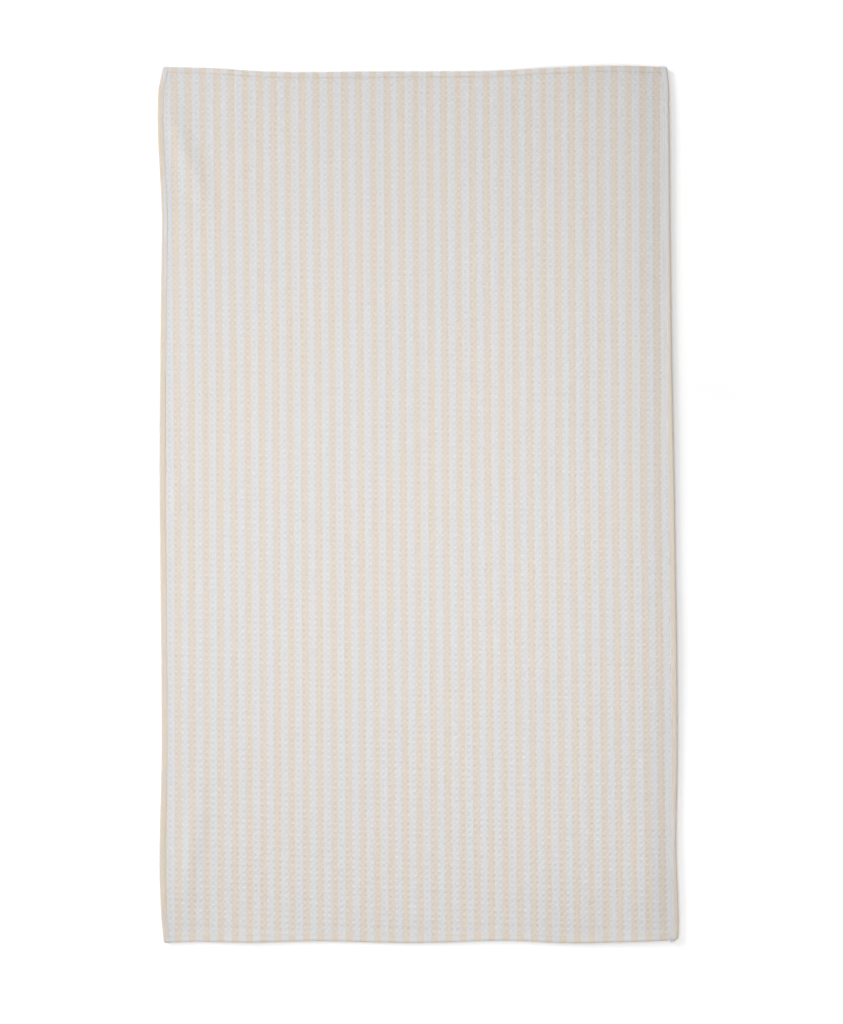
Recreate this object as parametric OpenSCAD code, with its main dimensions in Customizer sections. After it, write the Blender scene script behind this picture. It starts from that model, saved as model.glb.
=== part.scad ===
// Golf towel, lying flat with its printed face up.
// The towel is one piece of waffle cloth. Its four edges are turned twice to the back and sewn down,
// so a hem is three pressed layers thick. Each hem is held by one lockstitch seam of two threads:
// the needle thread lies on the face, and the bobbin thread lies on the back.
// X runs across the towel, Y along it, and Z up from the surface that it lies on.
// The origin is the middle of the underside.

/* [Cloth] */
// Finished width, across the stripes
towel_w = 406; // [300:1:520]
// Finished length, along the stripes
towel_l = 686; // [450:1:1000]
// Thickness of the waffle cloth between the hems
cloth_t = 1.6; // [1.2:0.1:2.2]
// How far the edges wander from straight: 1 as it lies, 0 dead straight
wander = 1; // [0:0.1:1]

/* [Hems] */
// Width of the turned hem
hem_w = 5.5; // [4:0.5:12]
// Thickness of the three pressed layers
hem_t = 2.6; // [2.4:0.1:4]
// How far the end of the right hem pokes out at the lower corner
dog_ear = 1.5; // [0:0.1:3]

/* [Sewing] */
// Distance of the seam from the inner edge of the hem
seam_inset = 1.2; // [0.8:0.1:1.8]
// Width of a thread
thread_w = 0.5; // [0.3:0.05:0.8]
// Height of a thread
thread_h = 0.4; // [0.2:0.05:0.6]
// How much of the needle thread stands above the face
thread_proud = 0.1; // [0:0.05:0.15]
// How far each seam stops short of the cloth's end
seam_gap = 0.6; // [0.3:0.1:2]

/* [Hidden] */

half_w = towel_w / 2;
half_l = towel_l / 2;

// How each edge wanders. Each point is a place along the edge, from -1 at its low end to 1 at its
// high end, and how far the edge lies outside its nominal straight line there, in millimetres.
left_bow = [
    [-1, -2.8], [-0.95, -0.7], [-0.81, 0.9], [-0.55, -0.9], [-0.3, -0.3], [0.08, 0.9],
    [0.47, -0.1], [0.66, -1], [0.78, 1], [0.89, 2.5], [0.97, 1.5], [1, -1.8]
];
right_bow = [
    [-1, 1.9], [-0.97, 2.5], [-0.78, 0.3], [-0.58, 1.5], [-0.22, 0.3], [0.01, -0.9],
    [0.24, -2.5], [0.47, -3.6], [0.81, -4.7], [0.97, -5.2], [1, -6.8]
];
bottom_bow = [
    [-1, 2.5], [-0.84, 1.3], [-0.67, 2], [-0.41, 0.8], [-0.01, 2.4], [0.34, 0.3],
    [0.61, 2.5], [0.83, 1.1], [1, 0]
];
top_bow = [
    [-1, 2], [-0.8, 1.3], [-0.6, -1.6], [-0.43, -2.2], [-0.1, -1.5], [0.26, -1.4],
    [0.5, 0.8], [0.77, 2.5], [1, 1.4]
];

// Points along a long and a short edge, between the corners
side_steps = 32;
end_steps = 20;
// The even points stop this far from the nominal corners, which leaves room for the corners' own
corner_room = hem_w + 10;

// A smooth curve through a list of points that never overshoots them
function rise(p, i) = (p[i + 1][1] - p[i][1]) / (p[i + 1][0] - p[i][0]);
function mean_slope(a, b) = a * b <= 0 ? 0 : 2 * a * b / (a + b);
function slope(p, i) =
    i == 0 ? rise(p, 0)
    : i == len(p) - 1 ? rise(p, i - 1)
    : mean_slope(rise(p, i - 1), rise(p, i));
function span(p, s, i = 0) = i >= len(p) - 2 || s <= p[i + 1][0] ? i : span(p, s, i + 1);
function hermite(p, s, i) =
    let (h = p[i + 1][0] - p[i][0])
    let (t = (s - p[i][0]) / h)
    (2 * t ^ 3 - 3 * t ^ 2 + 1) * p[i][1]
    + (t ^ 3 - 2 * t ^ 2 + t) * h * slope(p, i)
    + (3 * t ^ 2 - 2 * t ^ 3) * p[i + 1][1]
    + (t ^ 3 - t ^ 2) * h * slope(p, i + 1);
function bow(p, s) =
    let (inside = min(1, max(-1, s)))
    wander * hermite(p, inside, span(p, inside));

// The side edges (s is -1 at the left, 1 at the right) and the end edges (s is -1 at the bottom,
// 1 at the top), each moved inwards by a depth
function side_x(s, y, depth) = s * (half_w + bow(s < 0 ? left_bow : right_bow, y / half_l) - depth);
function end_y(s, x, depth) = s * (half_l + bow(s < 0 ? bottom_bow : top_bow, x / half_w) - depth);

// Where a side line and an end line cross, found by stepping from one to the other
function crossing(sx, sy, side_depth, end_depth, steps = 5, x = undef) =
    let (x_now = is_undef(x) ? sx * half_w : x)
    let (y_now = end_y(sy, x_now, end_depth))
    steps == 0 ? [x_now, y_now]
    : crossing(sx, sy, side_depth, end_depth, steps - 1, side_x(sx, y_now, side_depth));

function even(k, steps, reach) = reach * (2 * k / steps - 1);
function reversed(p) = [for (i = [len(p) - 1 : -1 : 0]) p[i]];

// A side line from bottom to top. low and high list the end depths that it crosses, outermost first.
function side_line(s, depth, low, high) = concat(
    [for (e = low) crossing(s, -1, depth, e)],
    [
        for (k = [0 : side_steps])
            let (y = even(k, side_steps, half_l - corner_room))
            [side_x(s, y, depth), y]
    ],
    [for (e = reversed(high)) crossing(s, 1, depth, e)]
);

// An end line from left to right, between the side lines at side_depth
function end_line(s, depth, side_depth) = concat(
    [crossing(-1, s, side_depth, depth)],
    [
        for (k = [0 : end_steps])
            let (x = even(k, end_steps, half_w - corner_room))
            [x, end_y(s, x, depth)]
    ],
    [crossing(1, s, side_depth, depth)]
);

// A slab between two lines that run the same way
module slab(line_a, line_b, z_low, z_high) {
    translate([0, 0, z_low])
        linear_extrude(z_high - z_low)
            polygon(concat(line_a, reversed(line_b)));
}

seam_depth = hem_w - seam_inset;
face_seam_z = hem_t + thread_proud - thread_h;

// The strips of a seam along a side and along an end. The needle thread's strip starts at
// face_seam_z, and the bobbin thread's strip is flush with the underside.
module side_seam(s, z) {
    slab(
        side_line(s, seam_depth - thread_w / 2, [seam_gap], [seam_gap]),
        side_line(s, seam_depth + thread_w / 2, [seam_gap], [seam_gap]),
        z, z + thread_h
    );
}

module end_seam(s, z) {
    slab(
        end_line(s, seam_depth - thread_w / 2, hem_w + seam_gap),
        end_line(s, seam_depth + thread_w / 2, hem_w + seam_gap),
        z, z + thread_h
    );
}

// The field of waffle cloth inside the hems
module panel() {
    color("linen")
        linear_extrude(cloth_t)
            polygon(concat(
                end_line(-1, hem_w, hem_w),
                side_line(1, hem_w, [], []),
                reversed(end_line(1, hem_w, hem_w)),
                reversed(side_line(-1, hem_w, [], []))
            ));
}

// The hems at the two ends were sewn first, so they stop where the side hems lie over them
module end_hem(s) {
    difference() {
        slab(end_line(s, 0, hem_w), end_line(s, hem_w, hem_w), 0, hem_t);
        end_seam(s, face_seam_z);
        end_seam(s, 0);
    }
}

module top_hem() {
    color("antiquewhite") end_hem(1);
}

module bottom_hem() {
    color("antiquewhite") end_hem(-1);
}

// The side hems run the full length. ear skews the lower end, so that its inner corner pokes out.
module side_hem(s, ear) {
    difference() {
        slab(
            side_line(s, 0, [ear], [0]),
            side_line(s, hem_w, ear > 0 ? [-ear, 0, hem_w] : [0, hem_w], [0, hem_w]),
            0, hem_t
        );
        side_seam(s, face_seam_z);
        side_seam(s, 0);
    }
}

module left_hem() {
    color("wheat") side_hem(-1, 0);
}

module right_hem() {
    color("wheat") side_hem(1, dog_ear);
}

// The eight sewing threads
module top_needle_thread() {
    color("white") end_seam(1, face_seam_z);
}

module bottom_needle_thread() {
    color("white") end_seam(-1, face_seam_z);
}

module left_needle_thread() {
    color("white") side_seam(-1, face_seam_z);
}

module right_needle_thread() {
    color("white") side_seam(1, face_seam_z);
}

module top_bobbin_thread() {
    color("gainsboro") end_seam(1, 0);
}

module bottom_bobbin_thread() {
    color("gainsboro") end_seam(-1, 0);
}

module left_bobbin_thread() {
    color("gainsboro") side_seam(-1, 0);
}

module right_bobbin_thread() {
    color("gainsboro") side_seam(1, 0);
}

panel();
top_hem();
bottom_hem();
left_hem();
right_hem();
top_needle_thread();
bottom_needle_thread();
left_needle_thread();
right_needle_thread();
top_bobbin_thread();
bottom_bobbin_thread();
left_bobbin_thread();
right_bobbin_thread();
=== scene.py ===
import math

import bpy
import numpy as np
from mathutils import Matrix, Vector


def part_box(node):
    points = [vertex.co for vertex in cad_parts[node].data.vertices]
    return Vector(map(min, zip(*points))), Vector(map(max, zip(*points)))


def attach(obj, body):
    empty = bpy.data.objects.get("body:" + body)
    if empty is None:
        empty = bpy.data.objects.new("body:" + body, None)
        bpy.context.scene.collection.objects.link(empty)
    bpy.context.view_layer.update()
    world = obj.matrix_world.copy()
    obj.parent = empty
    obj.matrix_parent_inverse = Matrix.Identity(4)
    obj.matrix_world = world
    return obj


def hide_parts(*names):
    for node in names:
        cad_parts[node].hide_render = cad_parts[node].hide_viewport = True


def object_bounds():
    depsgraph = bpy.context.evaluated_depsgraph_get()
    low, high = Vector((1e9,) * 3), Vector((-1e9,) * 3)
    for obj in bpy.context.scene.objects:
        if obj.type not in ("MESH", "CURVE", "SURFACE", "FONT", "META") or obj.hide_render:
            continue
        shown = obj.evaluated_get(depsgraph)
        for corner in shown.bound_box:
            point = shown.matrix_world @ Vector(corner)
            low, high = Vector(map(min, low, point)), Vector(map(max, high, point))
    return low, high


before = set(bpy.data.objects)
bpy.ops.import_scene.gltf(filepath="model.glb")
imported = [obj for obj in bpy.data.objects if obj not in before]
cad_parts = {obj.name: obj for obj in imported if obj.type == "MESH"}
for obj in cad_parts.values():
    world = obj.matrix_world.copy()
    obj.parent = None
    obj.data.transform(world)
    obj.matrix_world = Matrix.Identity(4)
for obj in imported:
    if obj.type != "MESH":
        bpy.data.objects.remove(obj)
cad_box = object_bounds()

# The towel's own numbers are in millimetres, in the CAD frame: X across, Y along, Z up from the floor.
MM = 0.001
ROOT = "root"
rng = np.random.default_rng(27)


# ---------------------------------------------------------------- small helpers

def smoothstep(low, high, x):
    t = np.clip((x - low) / (high - low), 0, 1)
    return t * t * (3 - 2 * t)


def smoothed(line, reach):
    """A row of evenly spaced values, averaged over a bell that reaches that many places each way."""
    bell = np.hanning(2 * reach + 3)[1:-1]
    return np.convolve(np.pad(line, reach, "edge"), bell / bell.sum(), "valid")


def through(points, x, soften=0):
    """The height at x of a curve through a short list of (place, height) points. Its bends are
    rounded over soften each way."""
    places, heights = np.array(points, float).T
    if not soften:
        return np.interp(x, places, heights)
    steps = 8
    fine = np.arange(places[0] - 3 * soften, places[-1] + 3 * soften, soften / steps)
    return np.interp(x, fine, smoothed(np.interp(fine, places, heights), steps))


def smooth_noise(x, y, size, seed):
    """Soft even noise between about -1 and 1, with lumps of the given size in millimetres."""
    waves = np.random.default_rng(seed)
    total = np.zeros(np.broadcast(x, y).shape)
    number, usual_peak = 9, 3.5
    for _ in range(number):
        angle = waves.uniform(0, 2 * math.pi)
        length = size * waves.uniform(0.7, 1.6)
        phase = waves.uniform(0, 2 * math.pi)
        total += np.sin(2 * math.pi * (x * math.cos(angle) + y * math.sin(angle)) / length + phase)
    return total / usual_peak


def make_piece(name, points, quads, attributes, replaces, material):
    """A smooth mesh of quads, with its points given in millimetres, hung on the root body in place of a
    CAD part.
    """
    if not np.isfinite(points).all():
        raise ValueError(f"{name} has a point that is not a number")
    mesh = bpy.data.meshes.new(name)
    mesh.vertices.add(len(points))
    mesh.vertices.foreach_set("co", (points * MM).astype(np.float32).ravel())
    mesh.loops.add(quads.size)
    mesh.loops.foreach_set("vertex_index", quads.astype(np.int32).ravel())
    mesh.polygons.add(len(quads))
    mesh.polygons.foreach_set("loop_start", np.arange(0, quads.size, 4, dtype=np.int32))
    mesh.update(calc_edges=True)
    mesh.polygons.foreach_set("use_smooth", np.ones(len(quads), bool))
    for key, values in attributes.items():
        kind = "FLOAT_VECTOR" if values.ndim == 2 else "FLOAT"
        field = "vector" if values.ndim == 2 else "value"
        layer = mesh.attributes.new(key, kind, "POINT")
        layer.data.foreach_set(field, values.astype(np.float32).ravel())
    mesh.materials.append(material)
    piece = bpy.data.objects.new(name, mesh)
    bpy.context.scene.collection.objects.link(piece)
    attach(piece, ROOT)
    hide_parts(replaces)
    return piece


# ---------------------------------------------------------------- the outline, from the CAD hems

def wall_line(node, across, sign):
    """The long wall of a CAD hem that faces sign along one axis: sorted (place along, place across)."""
    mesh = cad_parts[node].data
    co = np.array([v.co for v in mesh.vertices]) / MM
    tall = 0.9 * np.ptp(co[:, 2])
    points = set()
    for face in mesh.polygons:
        corners = co[list(face.vertices)]
        if face.normal[across] * sign > 0.7 and np.ptp(corners[:, 2]) > tall:
            points.update((round(c[1 - across], 3), round(c[across], 3)) for c in corners)
    return np.array(sorted(points))


class EdgeLine:
    """One outer edge of the towel: where it lies across, at a place along it."""

    def __init__(self, node, across, sign):
        line = wall_line(node, across, sign)
        beyond, step, soften = 14, 0.5, 12
        self.along = np.arange(line[0, 0] - beyond, line[-1, 0] + beyond, step)
        first, last = np.polyfit(*line[:2].T, 1), np.polyfit(*line[-2:].T, 1)
        raw = np.interp(self.along, *line.T)
        raw = np.where(self.along < line[0, 0], np.polyval(first, self.along), raw)
        raw = np.where(self.along > line[-1, 0], np.polyval(last, self.along), raw)
        self.across = smoothed(raw, soften)

    def __call__(self, along):
        return np.interp(along, self.along, self.across)


left_edge = EdgeLine("left_hem", 0, -1)
right_edge = EdgeLine("right_hem", 0, 1)
bottom_edge = EdgeLine("bottom_hem", 1, -1)
top_edge = EdgeLine("top_hem", 1, 1)

panel_low, panel_high = (np.array(corner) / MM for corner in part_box("panel"))
hem_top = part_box("top_hem")[1].z / MM
cloth_t = panel_high[2] - panel_low[2]
# A hem's width, measured across the top one
hem_w = float(np.median(top_edge(np.linspace(-150, 150, 31)))) - float(
    np.median(wall_line("top_hem", 1, -1)[3:-3, 1]))


def depth_from_edge(x, y):
    """How far a point lies inside the nearest outer edge."""
    sides = np.minimum(x - left_edge(y), right_edge(y) - x)
    ends = np.minimum(y - bottom_edge(x), top_edge(x) - y)
    return np.minimum(sides, ends)


# ---------------------------------------------------------------- the cloth's own coordinates

# The width of one white and one beige stripe together, going up the towel
STRIPE_PERIOD = [(-345, 11.24), (-288, 11.21), (43, 11.115), (326, 11.18)]
# Where the first white stripe starts, going up the towel: the cloth was hemmed a little askew
FIRST_WHITE = [(-345, -197.4), (-290, -197.3), (-190, -197.45), (-50, -197.7), (90, -198.15),
               (185, -199.3), (280, -200.25), (345, -200.7)]
# The bends of those two lines are rounded over these lengths
START_SOFT = 40
PERIOD_SOFT = 60
# Waffle cells across one such pair of stripes, and in a millimetre along the towel
CELLS_PER_PERIOD = 2.328
CELLS_PER_MM = 0.2079
# The weft falls to the right and bows upwards in the middle
WEFT_SLOPE = 0.033
WEFT_BOW = 0.00004


def stripes_at(y):
    """Where the first white stripe starts at a height, and how far on the next one does."""
    return through(FIRST_WHITE, y, START_SOFT), through(STRIPE_PERIOD, y, PERIOD_SOFT)


def stripe_phase(x, y):
    """Whole numbers are where a white stripe starts, and halves where a beige one does."""
    first, period = stripes_at(y)
    return (x - first) / period


def weft_count(x, y):
    return CELLS_PER_MM * (y + WEFT_SLOPE * x - WEFT_BOW * x * x)


def cloth_coordinates(x, y):
    """(waffle cells across, waffle cells along, stripe phase) of a point of the face."""
    phase = stripe_phase(x, y)
    return np.stack([phase * CELLS_PER_PERIOD, weft_count(x, y), phase], axis=-1)


def place_of(cells_across, cells_along):
    """Where a waffle cell lies: the inverse of cloth_coordinates, found by stepping towards it."""
    phase = cells_across / CELLS_PER_PERIOD
    y = cells_along / CELLS_PER_MM
    for _ in range(8):
        first, period = stripes_at(y)
        x = first + phase * period
        y = cells_along / CELLS_PER_MM - WEFT_SLOPE * x + WEFT_BOW * x * x
    return x, y


# ---------------------------------------------------------------- how the cloth lies

# How high the edges lie, and the height and size of the slow waves in the cloth
EDGE_LIFT = 0.3
WAVE_HEIGHT, WAVE_SIZE, WAVE_SEED = 0.12, 170, 3
# The open cloth is springy and stands off the floor a little; its edges lie down on it
LOFT, LOFT_BETWEEN = 1.0, (4, 18)
# It stands a little higher near the bottom edge, and near the right edge
BOTTOM_RISE, BOTTOM_RISE_BETWEEN = 0.5, (15, 130)
RIGHT_RISE, RIGHT_RISE_BETWEEN = 0.8, (20, 160)
# A soft roll runs up the right side and falls away to the edge: its height, going up the towel
RIGHT_ROLL = [(-345, 0.6), (-296, 2.8), (-230, 2.1), (0, 1.7), (250, 1.8), (345, 2.0)]
ROLL_SOFT = 40
# Going in from the right edge, where the roll rises and where it falls
ROLL_RISES_BETWEEN, ROLL_FALLS_BETWEEN = (-8, 29), (40, 200)
# Low swells and creases: centre x, centre y, height, half length, half width, direction in degrees
SWELLS = [
    (-181, 272, 1.3, 36, 8, 112), (-178, -270, 1.1, 44, 7, 84), (-189, 4, 0.7, 13, 7, 90),
    (-203, 300, 1.2, 60, 19, 90), (-202, -310, 1.1, 40, 16, 90), (186, -300, 1.2, 46, 24, 90),
    (201, 60, 0.4, 70, 18, 92), (198, 300, 0.6, 44, 15, 90), (-204, 20, 0.6, 80, 14, 90),
    (-80, 342, 0.8, 48, 14, 0), (120, 345, 1.0, 46, 15, 0), (-130, -345, 0.8, 40, 13, 0),
    (60, -343, 0.6, 44, 15, 0), (175, -344, 0.7, 30, 13, 0), (203, -120, 0.5, 52, 15, 90),
]


def lie(x, y):
    """How far the cloth stands off the floor at a point."""
    lift = EDGE_LIFT + WAVE_HEIGHT * smooth_noise(x, y, WAVE_SIZE, WAVE_SEED)
    lift = lift + LOFT * smoothstep(*LOFT_BETWEEN, depth_from_edge(x, y))
    lift = lift + BOTTOM_RISE * (1 - smoothstep(*BOTTOM_RISE_BETWEEN, y - bottom_edge(x)))
    from_right = right_edge(y) - x
    lift = lift + RIGHT_RISE * (1 - smoothstep(*RIGHT_RISE_BETWEEN, from_right))
    roll = smoothstep(*ROLL_RISES_BETWEEN, from_right) * (1 - smoothstep(*ROLL_FALLS_BETWEEN, from_right))
    lift = lift + through(RIGHT_ROLL, y, ROLL_SOFT) * roll
    for cx, cy, height, half_long, half_wide, turn in SWELLS:
        turn = math.radians(turn)
        along = (x - cx) * math.cos(turn) + (y - cy) * math.sin(turn)
        aside = (y - cy) * math.cos(turn) - (x - cx) * math.sin(turn)
        lift = lift + height * np.exp(-(along / half_long) ** 2 - (aside / half_wide) ** 2)
    return np.maximum(lift, 0)


# ---------------------------------------------------------------- the waffle cloth

CUTS_PER_CELL = 4
# Height of a ridge over its pit, and how much it differs from cell to cell
RELIEF = 0.52
UNEVEN = 0.05
# The floats lean a little, by this share of a cell
LEAN = 0.05
# The open cloth ends this far inside the outer edge, hidden in the hems
CUT_EDGE = 3.4
# How far inside the outer edge the seams run
SEAM_DEPTH = 4.3
# Face and back of the cloth, and how much of its relief is left, at a depth from the edge
FACE_AT = [(3.0, 1.8), (3.8, 2.05), (4.6, 2.28), (5.4, 2.36), (8, 2.15), (12, 1.85), (17, cloth_t)]
BACK_AT = [(3.0, 1.1), (4.3, 1.3), (5.6, 1.25), (8, 0.75), (11, 0.25), (14, 0)]
RELIEF_AT = [(4.0, 0.06), (5.0, 0.16), (6.2, 0.6), (8, 0.95), (10, 1)]


def waffle_face(a, b):
    """Height of the face within a cell: 1 on its ridges, 0 in the pit. Mid-ridge floats stand highest."""
    u, v = np.abs(2 * (a % 1) - 1), np.abs(2 * (b % 1) - 1)
    ridge = np.maximum(0.9 * u, v)
    return ridge - 0.6 * u * v


def waffle_back(a, b):
    """Depth of the back's relief: 0 on its ridges, 1 in its pits, which lie under the face's crossings."""
    u, v = np.abs(2 * (a % 1) - 1), np.abs(2 * (b % 1) - 1)
    return np.minimum(u, v)


def build_panel(material):
    spare = 1.5
    reach_x, reach_y = np.array(cad_box[1])[:2] / MM + spare
    corners = np.array([(x, y) for x in (-reach_x, reach_x) for y in (-reach_y, reach_y)])
    cells = cloth_coordinates(corners[:, 0], corners[:, 1])
    low, high = np.floor(cells.min(0)), np.ceil(cells.max(0))
    across = np.arange(low[0], high[0], 1 / CUTS_PER_CELL)
    along = np.arange(low[1], high[1], 1 / CUTS_PER_CELL)
    a, b = np.meshgrid(across, along)
    # Weft floats fall to the right, and warp floats rise to the right
    on_weft = np.cos(2 * math.pi * b).clip(0)
    on_warp = np.cos(2 * math.pi * a).clip(0)
    x, y = place_of(a + LEAN * on_warp * -np.sin(2 * math.pi * b),
                    b + LEAN * on_weft * np.sin(2 * math.pi * a))
    depth = depth_from_edge(x, y)

    cell_lot = rng.normal(0, UNEVEN, (int(high[1] - low[1]) + 2, int(high[0] - low[0]) + 2))
    uneven = 1 + cell_lot[(b - low[1]).astype(int), (a - low[0]).astype(int)]
    relief = RELIEF * through(RELIEF_AT, depth) * uneven
    off_floor = lie(x, y)
    face_z = through(FACE_AT, depth) - relief * (1 - waffle_face(a, b)) + off_floor
    back_z = through(BACK_AT, depth) + relief * waffle_back(a, b) + off_floor

    keep = depth > CUT_EDGE
    keep = keep[:-1, :-1] & keep[1:, :-1] & keep[:-1, 1:] & keep[1:, 1:]
    index = np.arange(a.size).reshape(a.shape)
    quad = np.stack([index[:-1, :-1], index[:-1, 1:], index[1:, 1:], index[1:, :-1]], -1)
    faces = [quad[keep], quad[keep][:, ::-1] + a.size]
    # A rim closes the cloth where its cut edge hides inside the hems
    kept = np.pad(keep, 1)
    inner = kept[1:-1, 1:-1]
    for beside, start, end in ((kept[:-2, 1:-1], 0, 1), (kept[1:-1, 2:], 1, 2),
                               (kept[2:, 1:-1], 2, 3), (kept[1:-1, :-2], 3, 0)):
        rim = quad[inner & ~beside]
        first, second = rim[:, start], rim[:, end]
        faces.append(np.stack([first, first + a.size, second + a.size, second], -1))
    quads = np.concatenate(faces)

    cloth = cloth_coordinates(x, y)
    cloth[..., 0], cloth[..., 1] = a, b
    points = np.concatenate([
        np.stack([x, y, face_z], -1).reshape(-1, 3), np.stack([x, y, back_z], -1).reshape(-1, 3)])
    cloth = np.concatenate([cloth.reshape(-1, 3)] * 2)
    printed = np.repeat([1.0, 0.0], a.size)
    margin = np.tile(depth.ravel(), 2)
    used, quads = np.unique(quads, return_inverse=True)
    return make_piece("waffle_panel", points[used], quads.reshape(-1, 4),
                      {"cloth": cloth[used], "printed": printed[used], "margin": margin[used]},
                      "panel", material)


# ---------------------------------------------------------------- the hems

# Length of a stitch, and thickness of one layer of pressed cloth
STITCH = 2.7
LAYER = 0.74
# How much the seam squeezes the hem, as a share, and how wide the squeeze is
PINCH, PINCH_WIDE = 0.06, 0.55
# How far a side hem's corners are cut back at the rim, and how far in from it that reaches
CORNER_ROUND = 1.1
CORNER_REACH = 1.6 * CORNER_ROUND
# How far an end hem's ends are tucked inside the side hems
TUCK = 2.3
# A hem is thicker or thinner near its ends: from how far in, and to where
BULK_BETWEEN = (3, 11)
# The unevenness of a hem: its height and size, and how many times finer it is across the hem
ROUGH_HEIGHT, ROUGH_SIZE, ROUGH_FINER, ROUGH_SEED = 0.05, 9, 3, 5
# Within this depth the rim is squared off, by this power
RIM_WIDE = 0.5
RIM_SQUARE = 1.7
# In the hem's middle line: how many points come before the turn at the rim, and how many make it
BEFORE_TURN = 8
TURN_CUTS = 9


def fold_profile():
    """The middle line of the turned cloth in a hem, as (depth, height) points and their arc lengths:
    from its inner top edge, outwards over the face, round the edge, back under it and into the
    fold. The arc length is counted from the outer edge, negative on the face."""
    top, middle, low = hem_top - LAYER / 2, hem_top / 2, LAYER / 2
    outer = (top - low) / 2
    inner = (middle - low) / 2
    tight = 0.12 * outer
    outer_d = LAYER / 2 + tight
    inner_d = hem_w - LAYER / 2 - inner
    turn = np.radians(np.linspace(90, 270, TURN_CUTS))
    back_turn = np.radians(np.linspace(-90, 90, 6))
    line = [(5.9, top - 0.65), (5.4, top - 0.30), (4.9, top - 0.18), (4.3, top - 0.13),
            (4.0, top - 0.11), (3.4, top - 0.08), (2.5, top - 0.04), (1.4, top)]
    line += [(outer_d + tight * math.cos(t), middle + outer * math.sin(t)) for t in turn]
    line += [(d, low) for d in (1.6, 2.6, 3.5, 4.0, 4.3, 4.5)]
    fold = (middle + low) / 2
    line += [(inner_d + inner * math.cos(t), fold + inner * math.sin(t)) for t in back_turn]
    line += [(d, middle) for d in (4.0, 3.2, 2.4, 1.7, 1.15)]
    line = np.array(line)
    step = np.hypot(*np.diff(line, axis=0).T)
    arc = np.concatenate([[0], np.cumsum(step)])
    return line, arc - arc[BEFORE_TURN + TURN_CUTS // 2]


def sheet_outline(line):
    """The closed outline of a sheet LAYER thick round its middle line: the printed side, then back
    along the plain side. Returns the outline and which point of the line each of its points is at."""
    way = np.gradient(line, axis=0)
    way /= np.hypot(*way.T)[:, None]
    thick = np.full(len(line), LAYER)
    # The face runs out thinly into the open cloth
    thick[:3] *= (0.25, 0.5, 0.8)
    side = np.stack([-way[:, 1], way[:, 0]], -1) * thick[:, None] / 2
    order = np.arange(len(line))
    printed_side, plain_side = line - side, line + side
    # The sheet is thicker than its turn at the rim is round, so the plain side turns on its own
    rim = line[BEFORE_TURN:BEFORE_TURN + TURN_CUTS]
    middle, reach = rim[:, 1].mean(), np.ptp(rim[:, 1]) / 2
    plain_side[BEFORE_TURN:BEFORE_TURN + TURN_CUTS] = np.stack([
        rim[:, 0] + LAYER / 2, middle + (rim[:, 1] - middle) * (1 - LAYER / 2 / reach)], -1)
    return np.concatenate([printed_side, plain_side[::-1]]), np.concatenate([order, order[::-1]])


def square_off(depth):
    """Pressing leaves the fold with a squarer edge than a plain turn: depths near the rim shrink."""
    share = np.clip(depth / RIM_WIDE, 0, 1)
    return np.where(depth < RIM_WIDE, RIM_WIDE * share ** RIM_SQUARE, depth)


def hem_height(depth, height, along_share, stitches, bulk):
    """Squeezes a hem along its seam, most at each stitch hole, and scales its height by bulk."""
    hole = np.cos(2 * math.pi * along_share * stitches) * 0.5 + 0.5
    squeeze = PINCH * (0.55 + 0.45 * hole) * np.exp(-((depth - SEAM_DEPTH) / PINCH_WIDE) ** 2)
    middle = hem_top / 2
    return (middle + (height - middle) * (1 - squeeze)) * bulk


def edge_of(horizontal, sign):
    """The outer edge of the hem that lies along X or along Y, on the side that sign says."""
    if horizontal:
        return top_edge if sign > 0 else bottom_edge
    return right_edge if sign > 0 else left_edge


def build_hem(name, node, horizontal, sign, ends, bulk_at, material):
    """A turned hem. ends gives, at a depth, where the hem starts and stops along its edge, and
    bulk_at is how much thicker, or below 0 thinner, it is at its two ends."""
    line, arc = fold_profile()
    outline, at = sheet_outline(line)
    depth, height = outline.T
    depth = square_off(depth)
    start, stop = ends(depth)
    length = float(np.median(stop - start))
    stitches = round(length / STITCH)
    rings = stitches * 2
    share = np.linspace(0, 1, rings + 1)[:, None]
    along = start + share * (stop - start)
    depth = np.broadcast_to(depth, along.shape)
    outer = edge_of(horizontal, sign)(along)
    across = outer - sign * depth
    x, y = (along, across) if horizontal else (across, along)
    from_end = np.minimum(along - start, stop - along)
    bulk = 1 + bulk_at * (1 - smoothstep(*BULK_BETWEEN, from_end))
    rough = ROUGH_HEIGHT * smooth_noise(along, depth * ROUGH_FINER, ROUGH_SIZE, ROUGH_SEED + sign)
    z = hem_height(depth, height + rough, share, stitches, bulk) + lie(x, y)

    arc = np.broadcast_to(arc[at], along.shape)
    # Unrolled, the turned cloth goes on outwards past the edge
    flat = outer + sign * arc
    cloth = cloth_coordinates(along, flat) if horizontal else cloth_coordinates(flat, along)
    count = len(outline)
    printed = np.broadcast_to(np.arange(count) < len(line), along.shape).astype(float)

    index = np.arange(along.size).reshape(along.shape)
    beside = np.roll(index, -1, axis=1)
    quads = np.stack([index[:-1], beside[:-1], beside[1:], index[1:]], -1).reshape(-1, 4)
    # Each end is closed between the two sides of the sheet
    pair = np.arange(len(line) - 1)
    cap = np.stack([pair, pair + 1, count - 2 - pair, count - 1 - pair], -1)
    caps = [index[0][cap][:, ::-1], index[-1][cap]]
    quads = np.concatenate([quads, *caps])
    if (sign > 0) == horizontal:
        quads = quads[:, ::-1]
    points = np.stack([x, y, z], -1).reshape(-1, 3)
    attributes = {"cloth": cloth.reshape(-1, 3), "printed": printed.ravel(), "margin": depth.ravel()}
    return make_piece(name, points, quads, attributes, node, material)


def settle(step_x, step_y, start):
    """Where two lines cross, found by stepping from one to the other."""
    x = start
    for _ in range(6):
        y = step_y(x)
        x = step_x(y)
    return x, y


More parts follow.
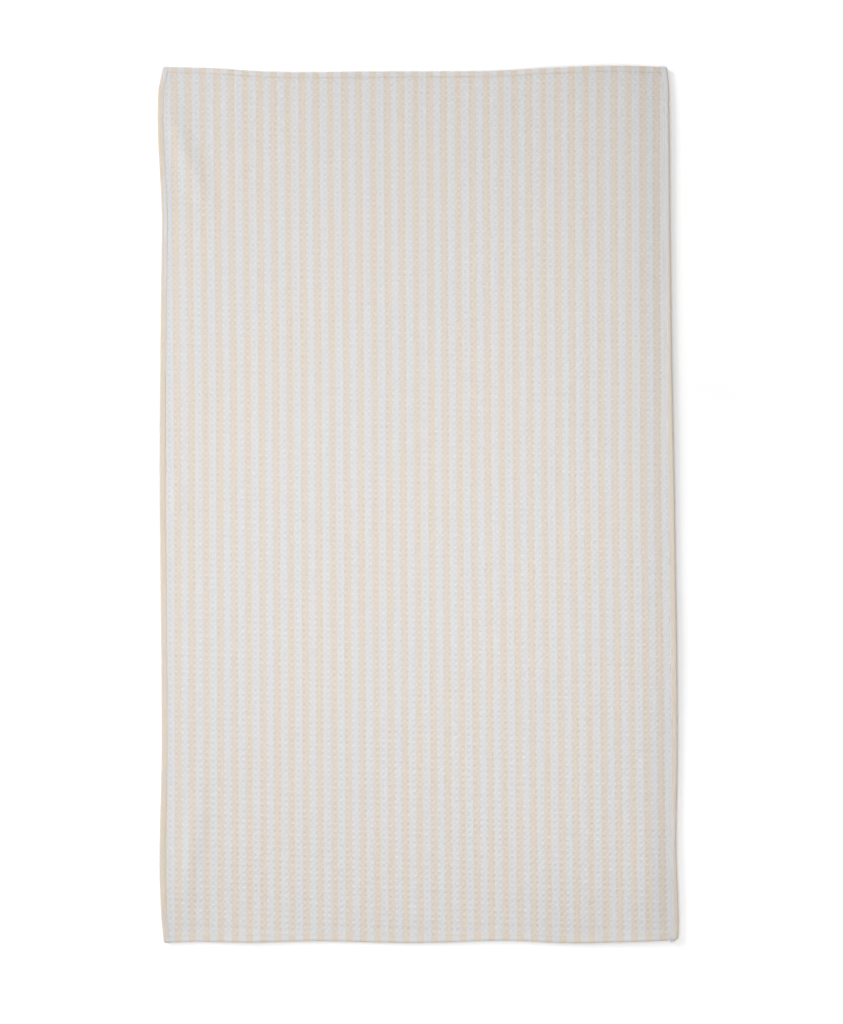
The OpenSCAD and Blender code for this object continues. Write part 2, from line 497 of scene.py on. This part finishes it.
def side_ends(edge, sign, ear):
    """The ends of a side hem at each depth, on the bottom and top edges. ear is how far its lower
    end is skewed: back at the rim, and out past the bottom edge at its inner side."""
    def ends(depth):
        def across(along):
            return edge(along) - sign * depth
        low = settle(across, bottom_edge, across(np.full_like(depth, panel_low[1])))[1]
        high = settle(across, top_edge, across(np.full_like(depth, panel_high[1])))[1]
        rounding = CORNER_ROUND * (1 - np.clip(depth / CORNER_REACH, 0, 1)) ** 2
        return low + ear * (1 - 2 * np.clip(depth / hem_w, 0, 1)) + rounding, high - rounding
    return ends


def end_ends(edge, sign):
    """The ends of a top or bottom hem, tucked well inside the side hems."""
    def ends(depth):
        across = edge(0.0) - sign * depth
        return left_edge(across) + TUCK, right_edge(across) - TUCK
    return ends


# ---------------------------------------------------------------- the sewing threads

# A thread's section, flattened against the cloth
THREAD_WIDE = 0.40
THREAD_HIGH = 0.32
THREAD_SIDES = 8
# How far a stitch strays from the seam, and how far askew it lies
THREAD_STRAY = 0.03
THREAD_SLANT = 0.10
# How deep a thread's middle is sunk in the cloth, as a share of its height
THREAD_SUNK = 0.3
# A thread on the back stays at least this far above the level of the hem's underside
BACK_GAP = 0.01
# How far each seam stops short of its hem's end
SEAM_GAP = 0.6
# How far the hem's surface lies below its full height along the seam
SEAM_DIP = 0.14
# One stitch: share of its length, and height between the lock in the middle (0) and the surface (1)
STITCH_SHAPE = [(0, 0.0), (0.035, 0.45), (0.09, 0.86), (0.18, 1.0), (0.36, 1.05), (0.64, 1.05),
                (0.82, 1.0), (0.91, 0.86), (0.965, 0.45)]


def build_thread(name, node, horizontal, sign, ends, face, material):
    """One continuous thread of a lockstitch seam, on the face or on the back."""
    first, last = (float(v[0]) for v in ends(np.array([SEAM_DEPTH])))
    start, stop = first + SEAM_GAP, last - SEAM_GAP
    stitches = round((stop - start) / STITCH)
    shares, heights = np.array(STITCH_SHAPE).T
    share = (np.arange(stitches)[:, None] + shares).ravel()
    share = np.append(share, stitches) / stitches
    up = np.append(np.tile(heights, stitches), 0.0)
    within = share * stitches % 1
    along = start + share * (stop - start)
    # Each stitch lies a little askew, and strays a little from the seam
    lot = rng.normal(0, THREAD_STRAY, stitches + 2)[(share * stitches).astype(int)]
    slant = THREAD_SLANT * (0.5 - within) * (up > 0.5) + lot
    depth = SEAM_DEPTH + slant

    across = edge_of(horizontal, sign)(along) - sign * depth
    x, y = (along, across) if horizontal else (across, along)
    middle = hem_top / 2
    surface = middle - SEAM_DIP - THREAD_HIGH * THREAD_SUNK
    centre = middle + (surface if face else -surface) * up
    if not face:
        centre = np.maximum(centre, THREAD_HIGH / 2 + BACK_GAP)
    path = np.stack([x, y, centre + lie(x, y)], -1)

    way = np.gradient(path, axis=0)
    way /= np.linalg.norm(way, axis=1)[:, None]
    flat = np.cross([0, 0, 1.0], way)
    flat /= np.linalg.norm(flat, axis=1)[:, None]
    rise = np.cross(way, flat)
    turn = np.linspace(0, 2 * math.pi, THREAD_SIDES, endpoint=False)
    ring = (np.cos(turn)[None, :, None] * flat[:, None] * THREAD_WIDE / 2
            + np.sin(turn)[None, :, None] * rise[:, None] * THREAD_HIGH / 2)
    points = (path[:, None] + ring).reshape(-1, 3)

    index = np.arange(len(points)).reshape(len(path), THREAD_SIDES)
    beside = np.roll(index, -1, axis=1)
    quads = np.stack([index[:-1], beside[:-1], beside[1:], index[1:]], -1).reshape(-1, 4)
    half = THREAD_SIDES // 2
    low = np.arange(half - 1)
    cap = np.stack([low, low + 1, THREAD_SIDES - 2 - low, THREAD_SIDES - 1 - low], -1)
    quads = np.concatenate([quads, index[0][cap][:, ::-1], index[-1][cap]])
    length = np.concatenate([[0], np.cumsum(np.linalg.norm(np.diff(path, axis=0), axis=1))])
    strand = np.stack([np.repeat(length, THREAD_SIDES), np.tile(turn / (2 * math.pi), len(path)),
                       np.zeros(len(points))], -1)
    return make_piece(name, points, quads, {"strand": strand}, node, material)


# ---------------------------------------------------------------- materials

class Nodes:
    """A material's node tree, with short calls for the nodes it is made of."""

    def __init__(self, name):
        self.material = bpy.data.materials.new(name)
        self.material.use_nodes = True
        self.tree = self.material.node_tree
        self.shader = self.tree.nodes["Principled BSDF"]

    def node(self, kind, **settings):
        made = self.tree.nodes.new(kind)
        for key, value in settings.items():
            setattr(made, key, value)
        return made

    def put(self, value, socket):
        if isinstance(value, bpy.types.NodeSocket):
            self.tree.links.new(value, socket)
        else:
            socket.default_value = value

    def maths(self, operation, *values, clamp=False):
        made = self.node("ShaderNodeMath", operation=operation, use_clamp=clamp)
        for value, socket in zip(values, made.inputs):
            self.put(value, socket)
        return made.outputs[0]

    def ramp(self, value, low, high, to_low=0.0, to_high=1.0):
        made = self.node("ShaderNodeMapRange", interpolation_type="SMOOTHSTEP")
        for number, socket in zip((value, low, high, to_low, to_high), made.inputs):
            self.put(number, socket)
        return made.outputs[0]

    def mix(self, share, first, second, blend="MIX"):
        made = self.node("ShaderNodeMix", data_type="RGBA", blend_type=blend)
        self.put(share, made.inputs[0])
        self.put(first, made.inputs[6])
        self.put(second, made.inputs[7])
        return made.outputs[2]

    def noise(self, vector, scale, detail=2.0, roughness=0.5):
        made = self.node("ShaderNodeTexNoise")
        self.put(vector, made.inputs["Vector"])
        made.inputs["Scale"].default_value = scale
        made.inputs["Detail"].default_value = detail
        made.inputs["Roughness"].default_value = roughness
        return made.outputs["Fac"]

    def attribute(self, name):
        return self.node("ShaderNodeAttribute", attribute_name=name)

    def parts(self, vector):
        made = self.node("ShaderNodeSeparateXYZ")
        self.put(vector, made.inputs[0])
        return made.outputs

    def bump(self, height, distance, strength):
        made = self.node("ShaderNodeBump")
        made.inputs["Strength"].default_value = strength
        made.inputs["Distance"].default_value = distance
        self.put(height, made.inputs["Height"])
        return made.outputs[0]

    def times(self, first, second):
        return self.maths("MULTIPLY", first, second)

    def plus(self, first, second):
        return self.maths("ADD", first, second)

    def minus(self, first, second):
        return self.maths("SUBTRACT", first, second)

    def blend(self, share, first, second):
        """A number that goes from the first to the second as share goes from 0 to 1."""
        made = self.node("ShaderNodeMix", data_type="FLOAT")
        self.put(share, made.inputs[0])
        self.put(first, made.inputs[2])
        self.put(second, made.inputs[3])
        return made.outputs[0]

    def tinted(self, colour, shade):
        """A colour with each of its parts multiplied by the same shade."""
        tone = self.node("ShaderNodeCombineColor")
        for socket in tone.inputs:
            self.put(shade, socket)
        return self.mix(1.0, colour, tone.outputs[0], "MULTIPLY")


WHITE = (0.729, 0.720, 0.721, 1)
BEIGE = (0.737, 0.664, 0.587, 1)
PRESSED_BEIGE = (0.731, 0.648, 0.555, 1)
REVERSE = (0.730, 0.722, 0.712, 1)
YARNS_PER_CELL = 12


def from_middle_of_cell(n, count):
    """0 in the middle of a cell, 1 at its borders."""
    return n.maths("ABSOLUTE", n.minus(n.times(n.maths("FRACT", count), 2.0), 1.0))


def float_shape(n, a, b, centre, turn, half_long, half_wide):
    """A soft oval within a cell: 1 at its centre. turn is the way it points, in degrees."""
    aside = n.minus(n.maths("FRACT", n.plus(a, 0.5 - centre[0])), 0.5)
    ahead = n.minus(n.maths("FRACT", n.plus(b, 0.5 - centre[1])), 0.5)
    cos, sin = math.cos(math.radians(turn)), math.sin(math.radians(turn))
    run = n.plus(n.times(aside, cos / half_long), n.times(ahead, sin / half_long))
    off = n.minus(n.times(ahead, cos / half_wide), n.times(aside, sin / half_wide))
    square = n.plus(n.times(run, run), n.times(off, off))
    return n.maths("EXPONENT", n.times(square, -1.0))


def print_share(n, place, phase, yarn, printed):
    """How much ink the cloth holds: the beige stripes, whose edges waver by a yarn or so."""
    ragged = n.times(n.minus(n.noise(place, 700.0, 3.0, 0.7), 0.5), 0.05)
    edge = n.plus(ragged, n.times(yarn, 0.006))
    turn = n.maths("FRACT", n.plus(phase, edge))
    from_middle = n.maths("ABSOLUTE", n.minus(turn, 0.75))
    ink = n.ramp(from_middle, 0.235, 0.265, 1.0, 0.0)
    # Ink takes a little unevenly, and only a trace of it shows through on the back
    blotch = n.ramp(n.noise(place, 260.0, 3.0, 0.6), 0.2, 0.8, 0.86, 1.06)
    taken = n.ramp(printed, 0.0, 1.0, 0.16, 1.0)
    return n.maths("MULTIPLY", n.times(ink, blotch), taken, clamp=True)


def cloth_material(name, waffle, beige, sheen, soak):
    """Microfibre cloth with its printed stripes. waffle is 1 on the open cloth and less where the
    hem presses it flat, and soak is how much light goes through it."""
    n = Nodes(name)
    place = n.node("ShaderNodeTexCoord").outputs["Object"]
    cloth = n.attribute("cloth").outputs["Vector"]
    a, b, phase = n.parts(cloth)
    printed = n.attribute("printed").outputs["Fac"]

    # A pit's upper and lower walls are weft floats, and its side walls are warp floats
    on_weft = n.ramp(n.minus(from_middle_of_cell(n, b), from_middle_of_cell(n, a)), -0.12, 0.12)
    fibre = n.noise(place, 5200.0, 3.0, 0.65)
    wander = n.times(n.noise(place, 900.0, 2.0), 0.9)
    warp_yarn = n.maths("SINE", n.plus(n.times(a, 2 * math.pi * YARNS_PER_CELL), wander))
    weft_yarn = n.maths("SINE", n.plus(n.times(b, 2 * math.pi * YARNS_PER_CELL), wander))
    yarn = n.blend(on_weft, warp_yarn, weft_yarn)

    base = n.mix(printed, REVERSE, WHITE)
    colour = n.mix(print_share(n, place, phase, yarn, printed), base, beige)

    # Painted highlights: the long floats on the ridges are lightened in the colour, standing in for the
    # light they catch, and the pit of each cell is darkened with painted shade. The weft floats lie above
    # a pit and lean down to the right, and the warp floats beside it lean up to the right.
    weft_float = float_shape(n, a, b, (0.5, 0.0), -28, 0.36, 0.17)
    warp_float = float_shape(n, a, b, (0.0, 0.5), 68, 0.34, 0.15)
    pit = float_shape(n, a, b, (0.5, 0.5), 0, 0.24, 0.2)
    # How strongly the painted highlight on the floats shows, varying over the cloth
    painted_highlight_strength = n.ramp(n.noise(place, 620.0, 2.0, 0.6), 0.3, 0.7, 0.5, 1.5)
    # Cloth that light soaks into loses some of it, which a lighter dye makes up
    shade = n.plus(0.985 + 0.075 * soak, n.times(n.times(weft_float, painted_highlight_strength), 0.070 * waffle))
    shade = n.plus(shade, n.times(n.times(warp_float, painted_highlight_strength), 0.055 * waffle))
    # Painted shade in the pit of each cell
    shade = n.minus(shade, n.times(pit, 0.035 * waffle))
    shade = n.plus(shade, n.times(yarn, 0.012))
    # Fuzz, grain and slow changes of tone
    shade = n.plus(shade, n.times(n.minus(fibre, 0.5), 0.07))
    grain = n.noise(place, 1150.0, 2.0, 0.7)
    shade = n.plus(shade, n.times(n.minus(grain, 0.5), 0.08 + 0.36 * waffle))
    shade = n.plus(shade, n.times(n.minus(n.noise(place, 11.0, 3.0), 0.5), 0.012))
    # Painted shade: the last few millimetres in from the outer edge are darkened a little, where the
    # rolled fold turns away from the light
    margin = n.attribute("margin").outputs["Fac"]
    shade = n.times(shade, n.ramp(margin, 0.0, 2.8, 0.95, 1.0))
    # Painted light: the very rim of the fold is lightened in the colour, to lift the shade it falls into
    shade = n.times(shade, n.ramp(margin, 0.05, 0.6, 1.14, 1.0))
    n.put(n.tinted(colour, shade), n.shader.inputs["Base Color"])

    n.put(n.ramp(fibre, 0.3, 0.7, 0.86, 0.98), n.shader.inputs["Roughness"])
    height = n.plus(n.times(yarn, 0.5 + 0.2 * waffle), n.times(fibre, 1.3))
    height = n.plus(height, n.times(n.plus(weft_float, warp_float), 1.2 * waffle))
    n.put(n.bump(height, 0.00007, 0.8), n.shader.inputs["Normal"])
    n.shader.inputs["Specular IOR Level"].default_value = 0.2
    n.shader.inputs["Sheen Weight"].default_value = sheen
    n.shader.inputs["Sheen Roughness"].default_value = 0.45
    n.shader.inputs["Sheen Tint"].default_value = (1.0, 0.97, 0.93, 1)
    # Light soaks a little way into the fold, so its shaded rim is less dark
    n.shader.inputs["Subsurface Weight"].default_value = soak
    n.shader.inputs["Subsurface Radius"].default_value = (1.0, 0.95, 0.9)
    n.shader.inputs["Subsurface Scale"].default_value = 0.0012
    return n.material


def thread_material(name, colour):
    """Spun sewing thread: three plies twisted together, with a little fuzz."""
    plies, twist_length = 3, 1.1
    n = Nodes(name)
    place = n.node("ShaderNodeTexCoord").outputs["Object"]
    length, turn, _ = n.parts(n.attribute("strand").outputs["Vector"])
    twist = n.plus(n.times(length, 1 / twist_length), turn)
    ply = n.maths("ABSOLUTE", n.maths("SINE", n.times(twist, plies * math.pi)))
    fibre = n.noise(place, 9000.0, 2.0, 0.6)
    # Painted shade: the grooves between the plies are darkened in the colour
    shade = n.plus(n.ramp(ply, 0.0, 0.7, 0.90, 1.0), n.times(n.minus(fibre, 0.5), 0.08))
    n.put(n.tinted(colour, shade), n.shader.inputs["Base Color"])
    n.put(n.ramp(fibre, 0.3, 0.7, 0.55, 0.75), n.shader.inputs["Roughness"])
    height = n.plus(ply, n.times(fibre, 0.4))
    n.put(n.bump(height, 0.00005, 0.7), n.shader.inputs["Normal"])
    n.shader.inputs["Sheen Weight"].default_value = 0.15
    n.shader.inputs["Sheen Roughness"].default_value = 0.4
    return n.material


# ---------------------------------------------------------------- the scene

# The floor's glow, by distance in metres from the towel's middle: LEAST_GLOW at the middle, rising
# to NEAR_GLOW over the first stretch, and by FAR_GLOW more over the second
LEAST_GLOW = 0.015
NEAR_GLOW_BETWEEN, NEAR_GLOW = (0.16, 0.62), 0.37
FAR_GLOW_BETWEEN, FAR_GLOW = (0.5, 1.8), 0.63
# How strongly the white world lights the scene
WORLD_GLOW = 0.12


def build_floor():
    """A plain white sweep. It glows a little, as a bright studio table does, so that it stays white."""
    n = Nodes("white_floor")
    n.shader.inputs["Base Color"].default_value = (0.95, 0.95, 0.95, 1)
    n.shader.inputs["Roughness"].default_value = 1.0
    n.shader.inputs["Specular IOR Level"].default_value = 0.0
    n.shader.inputs["Emission Color"].default_value = (1, 1, 1, 1)
    x, y, _ = n.parts(n.node("ShaderNodeTexCoord").outputs["Object"])
    away = n.maths("SQRT", n.plus(n.times(x, x), n.times(y, y)))
    glow = n.plus(n.ramp(away, *NEAR_GLOW_BETWEEN, LEAST_GLOW, NEAR_GLOW),
                  n.ramp(away, *FAR_GLOW_BETWEEN, 0.0, FAR_GLOW))
    n.put(glow, n.shader.inputs["Emission Strength"])
    mesh = bpy.data.meshes.new("floor")
    reach = 12
    mesh.from_pydata([(-reach, -reach, 0), (reach, -reach, 0), (reach, reach, 0), (-reach, reach, 0)],
                     [], [(0, 1, 2, 3)])
    mesh.materials.append(n.material)
    floor = bpy.data.objects.new("floor", mesh)
    floor.location.z = -0.0001
    bpy.context.scene.collection.objects.link(floor)


# The two soft boxes: place and size in metres, and power in watts
KEY_PLACE, KEY_SIZE, KEY_WATTS = (-1.8, 1.15, 1.25), 1.1, 44.6
OVERHEAD_PLACE, OVERHEAD_SIZE, OVERHEAD_WATTS = (0.02, -0.105, 0.855), 0.7, 5.9


def area_light(name, place, aim, size, watts):
    data = bpy.data.lights.new(name, "AREA")
    data.shape = "RECTANGLE"
    data.size, data.size_y = size, size
    data.energy = watts
    light = bpy.data.objects.new(name, data)
    light.location = place
    way = np.array(aim, float) - np.array(place, float)
    light.rotation_mode = "QUATERNION"
    light.rotation_quaternion = Vector(way).to_track_quat("-Z", "Y")
    light.visible_camera = False
    bpy.context.scene.collection.objects.link(light)


def build_light():
    """White all round where the camera sees it, a faint light from it, and two soft boxes."""
    world = bpy.data.worlds.new("studio")
    bpy.context.scene.world = world
    world.use_nodes = True
    tree = world.node_tree
    back = tree.nodes["Background"]
    back.inputs["Color"].default_value = (1, 1, 1, 1)
    path = tree.nodes.new("ShaderNodeLightPath")
    strength = tree.nodes.new("ShaderNodeMapRange")
    strength.inputs["To Min"].default_value = WORLD_GLOW
    strength.inputs["To Max"].default_value = 1.0
    tree.links.new(path.outputs["Is Camera Ray"], strength.inputs["Value"])
    tree.links.new(strength.outputs[0], back.inputs["Strength"])
    area_light("key", KEY_PLACE, (0, 0, 0), KEY_SIZE, KEY_WATTS)
    area_light("overhead", OVERHEAD_PLACE, (*OVERHEAD_PLACE[:2], 0), OVERHEAD_SIZE, OVERHEAD_WATTS)


def build_camera():
    """Straight above, as in the photo. The sensor's long side spans the height of the view."""
    data = bpy.data.cameras.new("camera")
    data.lens, data.sensor_width = 85, 36
    data.dof.use_dof = False
    middle_of_view = (0.0028, -0.0059)
    view_height, face_height = 0.807, 0.003
    camera = bpy.data.objects.new("camera", data)
    camera.location = (*middle_of_view, face_height + view_height * data.lens / data.sensor_width)
    data.clip_start, data.clip_end = 0.1, 50
    bpy.context.scene.collection.objects.link(camera)
    bpy.context.scene.camera = camera


build_camera()
build_floor()
build_light()
bpy.context.scene.view_settings.view_transform = "Standard"

open_cloth = cloth_material("waffle_cloth", 1.0, BEIGE, 0.05, 0.0)
pressed_cloth = cloth_material("pressed_hem_cloth", 0.15, PRESSED_BEIGE, 0.2, 0.7)
needle = thread_material("needle_thread", (0.735, 0.708, 0.675, 1))
bobbin = thread_material("bobbin_thread", (0.79, 0.78, 0.76, 1))

panel = build_panel(open_cloth)
HEMS = [
    ("top", True, 1, end_ends(top_edge, 1), -0.06),
    ("bottom", True, -1, end_ends(bottom_edge, -1), -0.06),
    ("left", False, -1, side_ends(left_edge, -1, 0.0), 0.02),
    ("right", False, 1, side_ends(right_edge, 1, 1.5), 0.02),
]
for side, horizontal, sign, ends, bulk in HEMS:
    build_hem(f"{side}_hem_fold", f"{side}_hem", horizontal, sign, ends, bulk, pressed_cloth)
    build_thread(f"{side}_needle_stitches", f"{side}_needle_thread", horizontal, sign, ends, True,
                 needle)
    build_thread(f"{side}_bobbin_stitches", f"{side}_bobbin_thread", horizontal, sign, ends, False,
                 bobbin)
